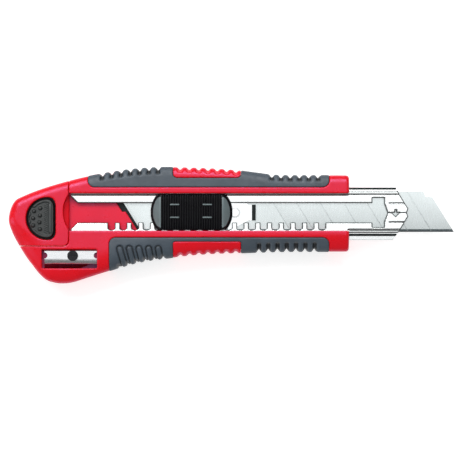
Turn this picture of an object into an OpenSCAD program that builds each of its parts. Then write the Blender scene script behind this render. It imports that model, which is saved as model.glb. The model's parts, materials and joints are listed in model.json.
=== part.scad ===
// Auto-loading snap-off knife with an 18 mm blade, a soft-grip handle and a
// pencil sharpener in its tail.
// The design datum is the tail (x), the blade's centre line (y) and the back
// face (z): x runs to the blade's tip, y to its spine and z to the slider.
// The finished part is moved so that its origin is the middle of its base.

/* [Handle] */
// Thickness of the handle, back face to front face
handle_t = 18; // [18:0.5:19]
// Height of the plane where the two shells meet
split_z = 7.4; // [7:0.1:7.4]
// Thickness of the soft grips over the shells
grip_t = 1.6; // [1.2:0.1:1.8]
// Distance between two finger ribs
rib_pitch = 4.1; // [4:0.1:4.2]
// Depth of the valleys between the ribs of the grips
rib_depth = 1.1; // [0.8:0.1:1.2]
// Inner edge of the arm on the blade's spine side
window_top = 8.05; // [8:0.05:8.2]
// Inner edge of the arm on the blade's cutting side
window_bottom = -8.45; // [-8.6:0.05:-8.3]

/* [Guide] */
// Thickness of the steel sheet
sheet_t = 0.8; // [0.7:0.05:0.8]
// Height of the underside of the guide's lips
lip_z = 14.0; // [14:0.05:14.1]
// Edge of the upper lip
lip_top = 3.76; // [3.6:0.05:4]
// Edge of the lower lip, which carries the rack
lip_bottom = -4.78; // [-5:0.05:-4.7]
// Number of notches in the rack
notch_count = 19; // [10:1:19]
// Distance between two notches
notch_pitch = 5.18; // [5.1:0.02:5.2]
// Width of a notch
notch_w = 2.8; // [2.6:0.1:3]
// Depth of a notch
notch_depth = 3.2; // [2.8:0.1:3.3]

/* [Blade] */
// Width of the blade
blade_w = 18; // [18:0.1:18.2]
// Thickness of the blade
blade_t = 0.5; // [0.4:0.05:0.5]
// Length of the blade along its cutting edge
blade_len = 100; // [99:0.5:101]
// Angle between the cutting edge and the break lines
blade_angle = 58.3; // [57:0.1:60]
// Distance between two break lines
segment_len = 10.4; // [10:0.1:10.5]
// Length of blade that stands out of the guide
tip_x = 197.3; // [197:0.1:198]

/* [Slider] */
// Length of the thumb slider
slider_len = 36.4; // [36:0.1:37]
// Height of the slider's ribbed top over the handle's face
slider_proud = 1.4; // [1:0.1:2]
// Distance between two of its thumb ribs
thumb_pitch = 1.07; // [1:0.01:1.2]

/* [Rear cap] */
// Plane where the rear cap meets the shells
cap_x = 26.8; // [26.6:0.1:27]
// Travel of the release button
press_travel = 1.2; // [0.8:0.1:1.5]

/* [Sharpener] */
// Radius of the pencil hole
pencil_r = 4.1; // [3.8:0.1:4.1]
// Half of the angle of the pencil's point
point_angle = 11; // [11:0.5:12]

/* [Hidden] */
$fn = 48;
eps = 0.05;          // how far a cut runs past a face
gap = 0.1;           // clearance between parts that slide on each other

// Outline of the handle, from the tail along each edge to the front
tail_end = [0, -2.8];
upper_pts = [[2.4, 4.3], [7.7, 7.5], [18.4, 11.4], [33.8, 15.5], [49.3, 18.3], [62.6, 19.6],
             [75, 19.8], [88, 19.4], [100, 18.6], [109, 17.4], [119, 16.3], [134, 16.2]];
lower_pts = [[1.4, -9], [5.1, -16.1], [10.4, -24], [15.7, -29.8], [20, -31.6], [24, -32],
             [28.5, -31.5], [36, -29.1], [46, -26], [58, -22.7], [70, -20.9], [85, -19.3],
             [104, -18.5], [120, -18], [134, -17.9]];
front_x = 150.8;     // front end of the handle
upper_corner_r = 1.5;
lower_corner_r = 2.2;
spline_steps = 4;    // straight pieces in each span of the outline
mid_y = (19.8 - 32) / 2;

// Grips and the ribbed windows in them
grip_x0 = 35.3;
lower_grip_x0 = 44.6;
grip_x1 = 141.8;
upper_grip_y = 10.75;
lower_grip_y = -11.4;
back_grip_x0 = 48;
panel_x0 = 72.8;
panel_x1 = 102.9;
upper_panel_y = 14.9;
lower_panel_y = -13.2;
grip_corner = 3;
rib_r = 1.5;         // radius of a valley between ribs
panel_rib_depth = 0.8;

// Guide
rail_x0 = 27.4;      // rear end of the guide
floor_t = 1.4;       // front shell's floor under the guide
tray_z = split_z + floor_t;
tray_y = 10.7;       // outer half-width of the tray
cover_y = 9.85;      // outer half-width of the cover
wall_t = 0.6;
flange_y = -12.6;    // edge of the flange below the tray
flange_z = 11.6;
tray_top = 13.2;
notch_x0 = 45.6;     // middle of the first notch
slot_end = 166.3;
nose_x = 177;
blade_z = 12.4;      // underside of the blade in use
cut = blade_w / 2;
lean = blade_w / tan(blade_angle);

// Blade in use and its fittings
stud_x = 100.2;
stud_y = -0.4;
stud_r = 1.9;
carrier_z = blade_z + blade_t + 0.15;
carrier_t = 0.8;
slider_x0 = 62.8;
slider_x1 = slider_x0 + slider_len;
slider_z0 = lip_z + sheet_t + gap;
slider_top = handle_t + slider_proud;
slider_y0 = -8.2;
slider_y1 = 7.6;
slider_end_r = 11.8; // radius of the slider's curved ends
pawl_x = notch_x0 + 8 * notch_pitch;
pawl_w = 2.4;
pawl_len = 5;
neck_y0 = lip_bottom + 0.35;
neck_y1 = lip_top - 0.35;

// Magazine
spare_shift = -37.5; // a spare blade lies this far behind the one in use
spare_hole_dx = 5.5;  // its hole is this much further from the tail
bevel_w = 1.3;        // width and slope of the cutting edge's two bevels
bevel_a = 8.5;
spare_gap = 0.1;
well_x0 = 60;
well_x1 = 140;
well_y = 5.6;
floor_z = 2.2;
follower_top = blade_z - 2 * (blade_t + spare_gap) - spare_gap;

// Sharpener
pencil_y = -23.1;    // its axis, below the edge of the sharpener's blade
apex_x = 41.5;       // where the pencil's point would end
sharp_z = 14.9;      // seat of the sharpener's blade
sharp_x0 = 14.9;
sharp_x1 = 39.3;
sharp_y0 = -25.1;
sharp_y1 = -16.7;
sharp_screw = [28.5, -19.5];
block_z = 4.6;
block_pts = [[15, -28.2], [31, -28.2], [42.4, -24.6], [42.4, -17.4], [15, -17.4]];

// Rear cap and its button
button_c = [17.4, -3.1];
button_r = 9.4;
button_flat_x = 21.1;
flange_t = 1.2;
cap_wall = 2;
pocket_top = 14.4;
button_z = pocket_top - 0.3;  // top of the flange that keeps the button in
stem_x = 14.5;
cap_low_y = -15.2;
tongue_x0 = 22.3;

screws = [[146.2, 13.4], [146.2, -15.3], [23.5, -29.7], [41.5, 13.9]];
screw_head_r = 1.9;
screw_r = 1.1;

function catmull(a, b, c, d, t) =
    0.5 * (2 * b + (c - a) * t + (2 * a - 5 * b + 4 * c - d) * t * t + (3 * b - a - 3 * c + d) * t * t * t);
function spline(p, n) = concat(
    [for (i = [0 : len(p) - 2], k = [0 : n - 1])
        catmull(p[max(i - 1, 0)], p[i], p[i + 1], p[min(i + 2, len(p) - 1)], k / n)],
    [p[len(p) - 1]]);
function reverse(p) = [for (i = [len(p) - 1 : -1 : 0]) p[i]];
function arc(c, r, a0, a1, n) =
    [for (i = [0 : n]) c + r * [cos(a0 + (a1 - a0) * i / n), sin(a0 + (a1 - a0) * i / n)]];

knots = concat(reverse(lower_pts), [tail_end], upper_pts);
edge = spline(knots, spline_steps);
tail_i = len(lower_pts) * spline_steps;
lower_edge = concat([for (i = [0 : tail_i]) edge[i]], [[front_x, lower_pts[len(lower_pts) - 1][1]]]);
upper_edge = concat([for (i = [tail_i : len(edge) - 1]) edge[i]],
                    [[front_x, upper_pts[len(upper_pts) - 1][1]]]);
upper_front_y = upper_pts[len(upper_pts) - 1][1];
lower_front_y = lower_pts[len(lower_pts) - 1][1];
outline = concat(edge,
    arc([front_x - upper_corner_r, upper_front_y - upper_corner_r], upper_corner_r, 90, 0, 5),
    arc([front_x - lower_corner_r, lower_front_y + lower_corner_r], lower_corner_r, 0, -90, 6));

// Moves a piece from the design datum to the part's origin
module place() translate([-tip_x / 2, -mid_y, 0]) children();

module slab(z0, z1) translate([0, 0, z0]) linear_extrude(z1 - z0) children();

module handle_2d() polygon(outline);

module box(lo, hi) translate(lo) cube(hi - lo);

module round_rect(lo, hi, r) {
    translate(lo + [r, r]) offset(r) square(hi - lo - 2 * [r, r]);
}

// ---------------------------------------------------------------- outlines

module cap_2d(clear = 0) {
    intersection() {
        handle_2d();
        polygon(concat([[-1, 20 + clear], [-1, cap_low_y - clear], [6, cap_low_y - clear]],
            arc([cap_x - 2.4, cap_low_y + 3.3], 2.4 + clear, -90, 0, 6),
            [[cap_x + clear, 20]]));
    }
}

module shell_2d() {
    difference() {
        handle_2d();
        cap_2d(gap);
    }
}

module upper_panel_2d() round_rect([panel_x0, upper_panel_y], [panel_x1, 24], 2);

module lower_panel_2d() round_rect([panel_x0, -24], [panel_x1, lower_panel_y], 1);

module upper_grip_2d(x0) {
    difference() {
        intersection() {
            handle_2d();
            round_rect([x0, upper_grip_y], [grip_x1, 30], grip_corner);
        }
        upper_panel_2d();
    }
}

module lower_grip_2d(x0) {
    difference() {
        intersection() {
            handle_2d();
            round_rect([x0, -35], [grip_x1, lower_grip_y], grip_corner);
        }
        lower_panel_2d();
    }
}

module core_2d() offset(delta = -grip_t) handle_2d();

// Valleys between finger ribs, along one edge of the handle
module valleys(x0, count, line, side, depth) {
    for (i = [0 : count - 1]) {
        x = x0 + i * rib_pitch;
        translate([x, lookup(x, line) + side * (rib_r - depth), -1]) cylinder(r = rib_r, h = handle_t + 2);
    }
}

module panel_valleys() {
    valleys(panel_x0 + 3, 7, upper_edge, 1, panel_rib_depth);
    valleys(panel_x0 + 3, 7, lower_edge, -1, panel_rib_depth);
}

module upper_grip_valleys() {
    valleys(41.7, 7, upper_edge, 1, rib_depth);
    valleys(116, 6, upper_edge, 1, rib_depth);
}

module lower_grip_valleys() {
    valleys(51.3, 5, lower_edge, -1, rib_depth);
    valleys(111, 7, lower_edge, -1, rib_depth);
}

// ------------------------------------------------------------------ shells

// Everything that the grips take away from the shells
module grip_space(z0, z1, x_upper, x_lower) {
    difference() {
        slab(z0, z1) {
            upper_grip_2d(x_upper);
            lower_grip_2d(x_lower);
        }
        slab(grip_t, handle_t - grip_t) core_2d();
    }
}

// The hole that a pencil goes into, as a solid along its slanted axis
module pencil_axis() {
    translate([apex_x, pencil_y, sharp_z + eps]) rotate([0, -90 - point_angle, 0]) children();
}

module pencil_hole() {
    cone_h = pencil_r / tan(point_angle);
    pencil_axis() {
        cylinder(r1 = 0.01, r2 = pencil_r, h = cone_h, $fn = 64);
        translate([0, 0, cone_h - eps]) cylinder(r = pencil_r, h = 30, $fn = 64);
    }
}

module pencil_way() pencil_axis() cylinder(r = pencil_r + 0.5, h = 50, $fn = 64);

module guide_space() {
    box([cap_x, flange_y - 0.2, tray_z], [front_x + 1, tray_y + 0.2, lip_z + sheet_t + gap]);
}

module sharpener_block() slab(block_z, sharp_z) polygon(block_pts);

module sharpener_space() {
    sharpener_block();
    intersection() {
        pencil_way();
        box([-2, -40, 0], [block_pts[0][0] + eps, 0, handle_t]);
    }
}

// Room for the spare blades' pusher, through both shells
module magazine_well() box([well_x0 - 2, -well_y - 1, floor_z], [well_x1 + 2, well_y + 1, tray_z + eps]);

module back_shell() {
    place() color("#d6293f") difference() {
        slab(0, split_z) shell_2d();
        grip_space(-eps, split_z + eps, back_grip_x0, lower_grip_x0);
        panel_valleys();
        sharpener_space();
        magazine_well();
        for (p = screws) translate([p[0], p[1], 0]) {
            translate([0, 0, -eps]) cylinder(r = screw_head_r + gap, h = 2);
            cylinder(r = screw_r + gap, h = split_z + 1);
        }
    }
}

module front_shell() {
    place() color("#d6293f") difference() {
        slab(split_z, handle_t) shell_2d();
        grip_space(split_z - eps, handle_t + eps, grip_x0, lower_grip_x0);
        panel_valleys();
        guide_space();
        magazine_well();
        box([cap_x, window_bottom, tray_z + 1], [front_x + 1, window_top, handle_t + 1]);
        sharpener_space();
        slab(sharp_z - eps, handle_t + eps) round_rect([sharp_x0, sharp_y0], [sharp_x1, sharp_y1], 0.4);
        for (p = screws) translate([p[0], p[1], split_z - 1]) cylinder(r = screw_r + gap, h = 7);
    }
}

// Slanted oblong grooves in the face of the lower grip
module thumb_grooves(z) {
    for (i = [0 : 4]) translate([48.6 + i * 4.3, -14.6 - i * 0.15, z]) rotate(-73)
        linear_extrude(0.7 + eps) hull() {
            circle(r = 0.45, $fn = 24);
            translate([7.2 - 0.7 * i, 0]) circle(r = 0.45, $fn = 24);
        }
}

module grip(z0, z1) {
    difference() {
        slab(z0, z1) children();
        slab(grip_t, handle_t - grip_t) core_2d();
    }
}

module front_upper_grip() {
    place() color("#5c6876") difference() {
        grip(split_z, handle_t) upper_grip_2d(grip_x0);
        upper_grip_valleys();
    }
}

module front_lower_grip() {
    place() color("#3a3943") difference() {
        grip(split_z, handle_t) lower_grip_2d(lower_grip_x0);
        lower_grip_valleys();
        thumb_grooves(handle_t - 0.7);
    }
}

module back_upper_grip() {
    place() color("#5c6876") difference() {
        grip(0, split_z) upper_grip_2d(back_grip_x0);
        upper_grip_valleys();
    }
}

module back_lower_grip() {
    place() color("#3a3943") difference() {
        grip(0, split_z) lower_grip_2d(lower_grip_x0);
        lower_grip_valleys();
        thumb_grooves(-eps);
    }
}

module case_screws() {
    place() color("#a9adb0") for (p = screws) translate([p[0], p[1], 0]) difference() {
        union() {
            translate([0, 0, 0.6]) cylinder(r = screw_head_r, h = 1.3);
            translate([0, 0, 1.8]) cylinder(r = screw_r, h = 11);
        }
        for (a = [0, 90]) rotate(a) translate([-1.2, -0.25, 0.5]) cube([2.4, 0.5, 0.8]);
    }
}

// ------------------------------------------------------------------- guide

// Outline of the guide's pointed nose, between two edges
module rail_2d(y0, y1, x0 = rail_x0) {
    intersection() {
        polygon([[x0, 20], [x0, -20], [164, -20], [170.1, -12.6], [173.2, -8.5], [175.2, -5],
                 [176.9, -2.2], [176.3, -0.4], [nose_x, 1.3], [175.3, 4], [173.2, 7.5],
                 [171.5, 10.7], [166, 20]]);
        translate([x0, y0]) square([nose_x, y1 - y0]);
    }
}

// The slot between the lips, with the rack, the cross-slot and the arrow
module lip_slot_2d() {
    translate([rail_x0 - 1, lip_bottom]) square([slot_end - rail_x0 + 1, lip_top - lip_bottom]);
    for (s = [[lip_top, 1], [lip_bottom, -1]])
        polygon([[rail_x0 - 1, s[0]], [rail_x0 + 3.1, s[0]], [rail_x0 - 1, s[0] + 4.1 * s[1]]]);
    for (i = [0 : notch_count - 1]) translate([notch_x0 + i * notch_pitch, lip_bottom])
        round_rect([-notch_w / 2, -notch_depth], [notch_w / 2, 1.5], 0.8);
    round_rect([161.1, -6.9], [slot_end, 6.1], 0.3);
    polygon([[slot_end - eps, lip_top], [167.8, -0.6], [slot_end - eps, lip_bottom]]);
    polygon([[169.8, -0.5], [171.4, -2.1], [173, -0.5], [171.7, -0.5],
             [171.7, 0.7], [171.1, 0.7], [171.1, -0.5]]);
}

module guide_tray() {
    place() color("#e4eaeb") difference() {
        union() {
            slab(tray_z, tray_top) rail_2d(-tray_y, tray_y);
            slab(flange_z, flange_z + sheet_t) rail_2d(flange_y, -tray_y + eps);
        }
        inner = tray_y - 0.75;
        box([rail_x0 - 1, -inner, tray_z + sheet_t], [nose_x + 1, inner, tray_top + 1]);
        box([well_x0, -well_y, tray_z - 1], [well_x1, well_y, tray_z + 2]);
    }
}

module guide_cover() {
    place() color("#f3fafb") difference() {
        slab(tray_z + 1.6, lip_z + sheet_t) rail_2d(-cover_y, cover_y);
        inner = cover_y - wall_t;
        box([rail_x0 - 1, -inner, tray_z], [nose_x + 1, inner, lip_z]);
        slab(lip_z - 1, lip_z + sheet_t + 1) lip_slot_2d();
        box([167, -0.7, lip_z + sheet_t - 0.3], [nose_x, -0.5, lip_z + sheet_t + 1]);
    }
}

module nose_block() {
    place() color("#c9cfd1") slab(tray_z + sheet_t, blade_z - gap) intersection() {
        rail_2d(-cut, cut, 161.5);
        translate([0, -cut]) square([nose_x - 0.6, blade_w]);
    }
}

// ------------------------------------------------------------------ blades

// A segmented blade whose cutting edge is at the bottom, tip at the origin
module blade_body(broken) {
    spine_end = -lean - (broken ? 2.4 : 0);
    tip = broken ? [[-9.6, blade_w - 2.5], [-12.6, blade_w - 2.4]] : [];
    difference() {
        linear_extrude(blade_t) polygon(concat([[0, 0]], tip,
            [[spine_end, blade_w], [-blade_len - lean, blade_w], [-blade_len, 0]]));
        for (i = [0 : 6]) translate([-9.8 - i * segment_len, 0, blade_t - 0.12]) rotate(180 - blade_angle)
            translate([-1, -0.09, 0]) cube([blade_w / sin(blade_angle) + 2, 0.18, 1]);
        translate([stud_x - tip_x + (broken ? 0 : spare_hole_dx), stud_y + cut, -1])
            cylinder(r = stud_r + gap, h = 3);
        for (s = [0, 1]) translate([-blade_len - 2, bevel_w, s * blade_t])
            rotate([(2 * s - 1) * bevel_a, 0, 0]) translate([0, -3, s - 1]) cube([blade_len + 4, 3, 1]);
    }
}

module blade() {
    place() color("#dfe9ea") translate([tip_x, -cut, blade_z]) blade_body(true);
}

module spare_blade_top() {
    place() color("#cfd8da") translate([tip_x + spare_shift, -cut, blade_z - blade_t - spare_gap])
        blade_body(false);
}

module spare_blade_low() {
    place() color("#cfd8da") translate([tip_x + spare_shift - 1.1, -cut, blade_z - 2 * (blade_t + spare_gap)])
        blade_body(false);
}

// Plastic pusher under the spare blades
module follower() {
    place() color("#2b2b2e") {
        box([well_x0 + 0.5, -well_y + 0.3, floor_z + 5.2], [well_x1 - 0.5, well_y - 0.3, follower_top]);
        box([well_x0 - 1.2, -well_y - 0.6, floor_z + 4.2], [well_x1 + 1.2, well_y + 0.6, floor_z + 5.2]);
    }
}

// Leaf spring under the pusher: a strip in three waves
function wave(x) = floor_z + gap + 1.85 * (1 - cos(360 * 3 * (x - well_x0) / (well_x1 - well_x0)));
module magazine_spring() {
    t = 0.35;
    xs = [for (i = [0 : 36]) well_x0 + (well_x1 - well_x0) * i / 36];
    place() color("#b9bfc1") translate([0, 4, 0]) rotate([90, 0, 0]) linear_extrude(8)
        polygon(concat([for (x = xs) [x, wave(x)]], [for (x = reverse(xs)) [x, wave(x) + t]]));
}

// ------------------------------------------------------------------ slider

module slider_2d() {
    intersection() {
        translate([slider_x0, slider_y0]) square([slider_len, slider_y1 - slider_y0]);
        translate([slider_x0 + slider_end_r, (slider_y0 + slider_y1) / 2]) circle(r = slider_end_r, $fn = 96);
    }
    intersection() {
        translate([slider_x0, slider_y0]) square([slider_len, slider_y1 - slider_y0]);
        translate([slider_x1 - slider_end_r, (slider_y0 + slider_y1) / 2]) circle(r = slider_end_r, $fn = 96);
    }
    translate([slider_x0 + slider_end_r, slider_y0])
        square([slider_len - 2 * slider_end_r, slider_y1 - slider_y0]);
}

module slider_button() {
    rib_x0 = slider_x0 + 5.1;
    ribs = floor((slider_len - 10.2) / thumb_pitch);
    place() color("#17171b") {
        difference() {
            intersection() {
                slab(slider_z0, slider_top) slider_2d();
                translate([0, 10, 0]) rotate([90, 0, 0]) linear_extrude(20) polygon([
                    [slider_x0 - 1, slider_z0], [slider_x0 - 1, slider_z0 + 0.6],
                    [slider_x0 + 4.6, slider_top], [slider_x1 - 4.6, slider_top],
                    [slider_x1 + 1, slider_z0 + 0.6], [slider_x1 + 1, slider_z0]]);
            }
            difference() {
                for (i = [0 : ribs]) translate([rib_x0 + i * thumb_pitch - 0.25, -10, slider_top - 0.6])
                    cube([0.5, 20, 1]);
                for (x = [71.5, 86]) box([x, -2.8, slider_z0], [x + 3.8, 3.2, slider_top + 1]);
            }
        }
        difference() {
            box([slider_x0 + 3.2, neck_y0, carrier_z + carrier_t], [slider_x1 - 3.2, neck_y1, slider_z0]);
            box([pawl_x - pawl_w / 2 - gap, neck_y0 - 1, lip_z - 0.05],
                [pawl_x + pawl_w / 2 + gap, neck_y1 - 0.6, lip_z + sheet_t]);
        }
    }
}

module slider_carrier() {
    place() color("#8c9498") difference() {
        box([slider_x0 + 1.4, -8.9, carrier_z], [97, 8.9, carrier_z + carrier_t]);
        for (x = [70, 92]) translate([x, 6, carrier_z - 1]) cylinder(r = 1, h = 3);
    }
}

// Spring-steel leaf that holds the blade's tail, with a turned-up lip
module blade_clip() {
    z = carrier_z;
    t = 0.35;
    place() color("#eef4f5") difference() {
        union() {
            slab(z, z + t) polygon([[97.1, 8.2], [97.1, -8.2], [101, -6.6], [106.3, -3.9], [107.2, -3.9],
                                    [107.2, 3.1], [106.3, 3.1], [101, 6.6]]);
            translate([0, 3.1, 0]) rotate([90, 0, 0]) linear_extrude(7)
                polygon([[107.1, z], [107.8, z], [109.4, z + 1.1],
                         [109.2, z + 1.4], [107.7, z + t], [107.1, z + t]]);
        }
        translate([stud_x, stud_y, z - 1]) cylinder(r = stud_r + gap, h = 3);
    }
}

module blade_stud() {
    place() color("#d5dbdd") translate([stud_x, stud_y, blade_z]) {
        cylinder(r = stud_r, h = 1.6);
        translate([0, 0, carrier_z - blade_z + 0.35]) cylinder(r = stud_r + 0.4, h = 0.4);
    }
}

// Pawl that drops into the rack when the slider is let go
module lock_pawl() {
    place() color("#9aa1a4") slab(lip_z + gap, lip_z + sheet_t - gap)
        polygon([[pawl_x - pawl_w / 2, neck_y0 + pawl_len], [pawl_x - pawl_w / 2, neck_y0 + 1],
                 [pawl_x - 0.7, neck_y0], [pawl_x + 0.7, neck_y0], [pawl_x + pawl_w / 2, neck_y0 + 1],
                 [pawl_x + pawl_w / 2, neck_y0 + pawl_len]]);
}

// Coil of round wire along +Z, from z = 0 to h, on a mean radius r
module coil(r, wire, h, turns) {
    sides = 8;
    per_turn = 12;
    n = turns * per_turn;
    rise = h - wire;
    function ring(i) = [for (k = [0 : sides - 1])
        let (a = 360 * i / per_turn, b = 360 * k / sides, q = r + wire / 2 * cos(b))
        [q * cos(a), q * sin(a), wire / 2 + rise * i / n + wire / 2 * sin(b)]];
    pts = [for (i = [0 : n]) each ring(i)];
    sides_f = [for (i = [0 : n - 1], k = [0 : sides - 1])
        let (a = i * sides + k, b = i * sides + (k + 1) % sides)
        [a, a + sides, b + sides, b]];
    polyhedron(pts, concat(sides_f,
        [[for (k = [0 : sides - 1]) k]], [[for (k = [sides - 1 : -1 : 0]) n * sides + k]]), convexity = 10);
}

module pawl_spring() {
    y0 = neck_y0 + pawl_len + 0.05;
    y1 = neck_y1 - 0.65;
    place() color("#b9bfc1") translate([pawl_x, y0, lip_z + sheet_t / 2]) rotate([-90, 0, 0])
        coil(0.22, 0.14, y1 - y0, 4);
}

// ---------------------------------------------------------------- rear cap

module button_2d(shrink) {
    offset(1.6) offset(-1.6 - shrink) intersection() {
        translate(button_c) circle(r = button_r, $fn = 96);
        translate([0, -20]) square([button_flat_x, 40]);
    }
}

module tongue_2d() {
    x_mid = 51.7;
    polygon([[tongue_x0, cut - 0.1], [tongue_x0, -cut + 0.1], [x_mid + lean / 2, -cut + 0.1], [x_mid, 0],
             [x_mid - 1.6, 0], [x_mid - lean / 2 - 1.6, cut - 0.1]]);
}

module tongue_solid() slab(tray_z + sheet_t + 0.4, blade_z - gap) tongue_2d();

module rear_cap() {
    place() color("#dc2c48") difference() {
        slab(0, handle_t) cap_2d();
        slab(cap_wall, pocket_top) intersection() {
            offset(delta = -cap_wall) cap_2d();
            translate([0, -30]) square([cap_x - cap_wall, 60]);
        }
        slab(pocket_top - 1, handle_t + 1) button_2d(0);
        tongue_solid();
        slab(slider_z0 - 0.3, handle_t + 1) intersection() {
            translate([24.4 + 13.7, -0.15]) circle(r = 13.7, $fn = 96);
            translate([20, window_bottom]) square([10, window_top - window_bottom]);
        }
    }
}

module cap_tongue() place() color("#d94a79") tongue_solid();

module release_button() {
    bumps = [[11.5, 0.2], [14.3, 1.5], [11.1, -2.9], [14.1, -1.7], [11.1, -6.1], [13.9, -4.7], [14.1, -7.7]];
    place() color("#3b4547") {
        slab(button_z - eps, handle_t - 0.8) button_2d(1);
        slab(button_z - flange_t, button_z) intersection() {
            button_2d(-0.5);
            offset(delta = -cap_wall - 0.3) cap_2d();
        }
        translate([stem_x, button_c[1], cap_wall + press_travel + 0.8])
            cylinder(r = 1.6, h = button_z - cap_wall - press_travel - 1);
        for (p = bumps) translate([p[0], p[1], handle_t - 0.85]) cylinder(r1 = 1.3, r2 = 0.9, h = 0.6);
        box([17.9, -9.5, handle_t - 0.85], [19.4, 3.5, handle_t - 0.35]);
    }
}

module button_spring() {
    h = button_z - flange_t - cap_wall - 0.1;
    place() color("#b9bfc1") translate([stem_x, button_c[1], cap_wall + 0.05]) coil(2.6, 0.5, h, 6);
}

// --------------------------------------------------------------- sharpener

module sharpener_body() {
    place() color("#c81e30") difference() {
        sharpener_block();
        pencil_hole();
        box([sharp_x0 + 1, sharp_y0, sharp_z - 2.4], [sharp_x1, pencil_y, sharp_z + 1]);
        translate([sharp_screw[0], sharp_screw[1], 10]) cylinder(r = 1.3 + gap, h = 10);
    }
}

module sharpener_blade() {
    place() color("#c3cbce") difference() {
        box([16, pencil_y, sharp_z + gap], [39.1, -17.35, sharp_z + gap + 0.9]);
        for (x = [16, 39.1]) translate([x, -19.4, sharp_z - 1]) cylinder(r = 1.3, h = 4);
        translate([sharp_screw[0], sharp_screw[1], sharp_z - 1]) cylinder(r = 1.4, h = 4);
        translate([15, pencil_y - 0.05, sharp_z + gap + 0.1]) rotate([30, 0, 0]) cube([26, 2.4, 2]);
    }
}

module sharpener_screw() {
    z = sharp_z + gap + 0.95;
    place() color("#141416") translate([sharp_screw[0], sharp_screw[1], 0]) difference() {
        union() {
            translate([0, 0, z]) cylinder(r = 2.35, h = 0.9);
            translate([0, 0, 10.6]) cylinder(r = 1.25, h = z - 10.6 + eps);
        }
        translate([-2.5, -0.3, z + 0.5]) cube([5, 0.6, 1]);
    }
}

back_shell();
front_shell();
front_upper_grip();
front_lower_grip();
back_upper_grip();
back_lower_grip();
guide_tray();
guide_cover();
nose_block();
sharpener_body();
sharpener_blade();
sharpener_screw();
case_screws();
magazine_spring();
follower();
spare_blade_top();
spare_blade_low();
slider_button();
slider_carrier();
blade_clip();
blade_stud();
lock_pawl();
pawl_spring();
blade();
rear_cap();
cap_tongue();
button_spring();
release_button();
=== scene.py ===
import json
import math

import bmesh
import bpy
import numpy as np
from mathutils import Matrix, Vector

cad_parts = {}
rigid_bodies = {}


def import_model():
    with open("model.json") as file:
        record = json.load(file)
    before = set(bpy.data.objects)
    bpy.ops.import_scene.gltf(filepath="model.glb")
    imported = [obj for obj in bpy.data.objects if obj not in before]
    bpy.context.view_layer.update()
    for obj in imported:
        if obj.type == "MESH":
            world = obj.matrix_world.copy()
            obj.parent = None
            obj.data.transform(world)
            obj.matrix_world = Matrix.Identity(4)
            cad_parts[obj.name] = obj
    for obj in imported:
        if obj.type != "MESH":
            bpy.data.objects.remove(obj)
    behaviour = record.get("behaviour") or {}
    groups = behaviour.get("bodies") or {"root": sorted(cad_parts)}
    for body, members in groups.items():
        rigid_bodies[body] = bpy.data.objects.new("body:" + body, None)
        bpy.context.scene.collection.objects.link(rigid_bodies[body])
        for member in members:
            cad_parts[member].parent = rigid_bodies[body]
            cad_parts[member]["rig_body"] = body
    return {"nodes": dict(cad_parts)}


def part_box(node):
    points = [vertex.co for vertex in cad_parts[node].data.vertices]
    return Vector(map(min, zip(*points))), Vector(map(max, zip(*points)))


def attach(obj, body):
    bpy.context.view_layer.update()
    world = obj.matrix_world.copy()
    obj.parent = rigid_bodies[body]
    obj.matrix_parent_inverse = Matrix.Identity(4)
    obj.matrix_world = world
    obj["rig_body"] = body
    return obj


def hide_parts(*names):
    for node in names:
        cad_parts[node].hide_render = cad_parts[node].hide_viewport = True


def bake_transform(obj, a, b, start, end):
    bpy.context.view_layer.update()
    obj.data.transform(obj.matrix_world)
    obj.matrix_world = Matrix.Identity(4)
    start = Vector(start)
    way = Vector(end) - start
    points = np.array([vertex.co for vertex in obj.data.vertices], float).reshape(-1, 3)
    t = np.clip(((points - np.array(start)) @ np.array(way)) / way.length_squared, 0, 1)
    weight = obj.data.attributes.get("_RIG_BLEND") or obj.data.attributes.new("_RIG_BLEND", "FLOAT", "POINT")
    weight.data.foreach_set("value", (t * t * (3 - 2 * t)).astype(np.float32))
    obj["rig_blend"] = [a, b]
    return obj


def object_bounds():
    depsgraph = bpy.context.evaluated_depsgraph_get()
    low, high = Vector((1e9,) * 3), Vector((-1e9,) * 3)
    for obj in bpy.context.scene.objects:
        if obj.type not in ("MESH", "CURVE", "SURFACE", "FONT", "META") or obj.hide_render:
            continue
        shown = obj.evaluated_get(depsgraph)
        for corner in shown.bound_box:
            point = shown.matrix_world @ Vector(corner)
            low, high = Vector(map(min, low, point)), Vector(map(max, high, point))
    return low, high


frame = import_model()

CAD_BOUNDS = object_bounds()

# ---------------------------------------------------------------- datum
# Shapes are worked out in millimetres in the knife's own datum: x from the
# tail, y from the blade's centre line, z from the back face.
MM = 0.001


def box_mm(node):
    """Lowest and highest corner of a CAD node, in the knife's datum."""
    lo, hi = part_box(node)
    return (np.array(lo) - ORIGIN) / MM, (np.array(hi) - ORIGIN) / MM


_cap_lo = np.array(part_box("rear_cap")[0])
_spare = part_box("spare_blade_top")
ORIGIN = np.array([_cap_lo[0], (_spare[0][1] + _spare[1][1]) / 2, 0.0])

HANDLE_T = box_mm("front_shell")[1][2]
SPLIT_Z = box_mm("front_shell")[0][2]
FRONT_X = box_mm("front_shell")[1][0]
CAP_X = box_mm("rear_cap")[1][0]
CAP_LOW_Y = box_mm("rear_cap")[0][1]
LIP_TOP_Z = box_mm("guide_cover")[1][2]
LIP_T = 0.8
WINDOW = (-8.45, 8.05)             # inner edges of the two arms, in y
WELL = (58, 142, -6.6, 6.6)        # the magazine's room: x, x, y, y

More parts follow.
